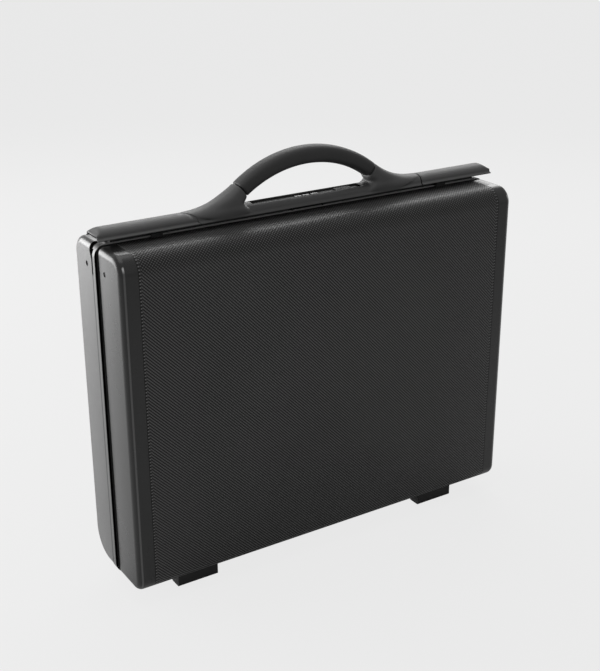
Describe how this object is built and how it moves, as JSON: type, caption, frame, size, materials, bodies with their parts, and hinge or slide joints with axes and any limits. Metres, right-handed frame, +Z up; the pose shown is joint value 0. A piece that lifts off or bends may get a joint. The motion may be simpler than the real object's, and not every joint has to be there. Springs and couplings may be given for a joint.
{
  "type": "hard attache case",
  "caption": "Black hard-sided attache case standing on its hinge side, with an arched carrying handle, flip-up latches and a dial lock on top and a hinged lid.",
  "frame": {"origin": "middle of the footprint, on the floor under the closed case", "axes": "+X along the case's width, -Y out of the lid's face, +Z up to the handle"},
  "size_m": [0.46, 0.104, 0.4289],
  "materials": {
    "skin": "embossed satin black sheet",
    "cap": "fine grained satin black moulding",
    "frame": "satin black powder coat",
    "lever": "satin black moulding",
    "grip": "soft matte black",
    "rubber": "matte black",
    "steel": "plain steel",
    "dark_steel": "black plated steel",
    "dial": "off-white with black figures",
    "panel": "satin grey",
    "cloth": "woven grey lining",
    "pocket": "dark woven cloth",
    "board": "cloth-covered board"
  },
  "bodies": {
    "base": {"base_skin": "skin", "base_cap_left": "cap", "base_cap_right": "cap", "base_frame": "frame", "rim_seal": "rubber", "base_lining": "cloth", "base_foot_left": "rubber", "base_foot_right": "rubber", "base_foot_screws": "steel", "base_cap_rivets": "dark_steel", "hinge_base_leaf_left": "dark_steel", "hinge_base_leaf_right": "dark_steel", "hinge_pin_left": "steel", "hinge_pin_right": "steel", "stay_studs_base": "steel", "rail_plate": "frame", "handle_mount": "lever", "mount_screws": "steel", "handle_core": "steel", "handle_grip": "grip", "lock_panel": "panel", "lock_chassis": "steel", "dial_shaft": "steel", "dial_spring": "steel", "latch_bracket_left": "dark_steel", "latch_bracket_right": "dark_steel", "latch_pin_left": "steel", "latch_pin_right": "steel"},
    "lid": {"lid_skin": "skin", "lid_cap_left": "cap", "lid_cap_right": "cap", "lid_frame": "frame", "lid_lining": "cloth", "organiser_board": "board", "file_pocket": "pocket", "card_pockets": "pocket", "pen_loops": "pocket", "lid_foot_left": "rubber", "lid_foot_right": "rubber", "lid_foot_screws": "steel", "lid_cap_rivets": "dark_steel", "strike_left": "steel", "strike_right": "steel", "hinge_lid_leaf_left": "dark_steel", "hinge_lid_leaf_right": "dark_steel", "stay_studs_lid": "steel"},
    "dial_1": {"dial_1": "dial"},
    "dial_2": {"dial_2": "dial"},
    "dial_3": {"dial_3": "dial"},
    "lock_slide": {"lock_slide": "panel", "lock_bar_right": "steel"},
    "lock_bar_left": {"lock_bar_left": "steel"},
    "lock_rocker": {"lock_rocker": "steel"},
    "latch_left": {"latch_lever_left": "lever"},
    "latch_right": {"latch_lever_right": "lever"},
    "stay_base_left": {"stay_base_link_left": "steel"},
    "stay_base_right": {"stay_base_link_right": "steel"},
    "stay_lid_left": {"stay_lid_link_left": "steel"},
    "stay_lid_right": {"stay_lid_link_right": "steel"}
  },
  "joints": [
    {"name": "lid_hinge", "type": "hinge", "parent": "base", "child": "lid", "pos_m": [0, -0.0045, 0.013], "axis": [1, 0, 0], "range_deg": [0, 95]},
    {"name": "latch_left", "type": "hinge", "parent": "base", "child": "latch_left", "pos_m": [-0.182, 0.0105, 0.3738], "axis": [-1, 0, 0], "range_deg": [0, 55]},
    {"name": "latch_right", "type": "hinge", "parent": "base", "child": "latch_right", "pos_m": [0.182, 0.0105, 0.3738], "axis": [-1, 0, 0], "range_deg": [0, 55]},
    {"name": "dial_1_turn", "type": "hinge", "parent": "base", "child": "dial_1", "pos_m": [-0.0095, 0, 0.3746], "axis": [1, 0, 0], "continuous": true},
    {"name": "dial_2_turn", "type": "hinge", "parent": "base", "child": "dial_2", "pos_m": [0, 0, 0.3746], "axis": [1, 0, 0], "continuous": true},
    {"name": "dial_3_turn", "type": "hinge", "parent": "base", "child": "dial_3", "pos_m": [0.0095, 0, 0.3746], "axis": [1, 0, 0], "continuous": true},
    {"name": "lock_slide", "type": "slide", "parent": "base", "child": "lock_slide", "axis": [1, 0, 0], "range_m": [0, 0.005]},
    {"name": "lock_bar_left", "type": "slide", "parent": "base", "child": "lock_bar_left", "axis": [1, 0, 0], "range_m": [-0.005, 0]},
    {"name": "lock_rocker", "type": "hinge", "parent": "base", "child": "lock_rocker", "pos_m": [0.026, 0, 0.3728], "axis": [0, 0, 1], "range_deg": [0, 49.5]},
    {"name": "stay_base_left", "type": "hinge", "parent": "base", "child": "stay_base_left", "pos_m": [-0.2172, 0.0175, 0.053], "axis": [1, 0, 0], "range_deg": [0, 95]},
    {"name": "stay_lid_left", "type": "hinge", "parent": "lid", "child": "stay_lid_left", "pos_m": [-0.2146, -0.0165, 0.057], "axis": [1, 0, 0], "range_deg": [-95, 0]},
    {"name": "stay_base_right", "type": "hinge", "parent": "base", "child": "stay_base_right", "pos_m": [0.2172, 0.0175, 0.053], "axis": [1, 0, 0], "range_deg": [0, 95]},
    {"name": "stay_lid_right", "type": "hinge", "parent": "lid", "child": "stay_lid_right", "pos_m": [0.2146, -0.0165, 0.057], "axis": [1, 0, 0], "range_deg": [-95, 0]}
  ],
  "couplings": [
    {"joint": "lock_bar_left", "follows": "lock_slide", "ratio": -1},
    {"joint": "lock_rocker", "follows": "lock_slide", "rad_per_m": 171.91},
    {"joint": "stay_base_left", "follows": "lid_hinge", "ratio": 1},
    {"joint": "stay_lid_left", "follows": "lid_hinge", "ratio": -1},
    {"joint": "stay_base_right", "follows": "lid_hinge", "ratio": 1},
    {"joint": "stay_lid_right", "follows": "lid_hinge", "ratio": -1}
  ]
}
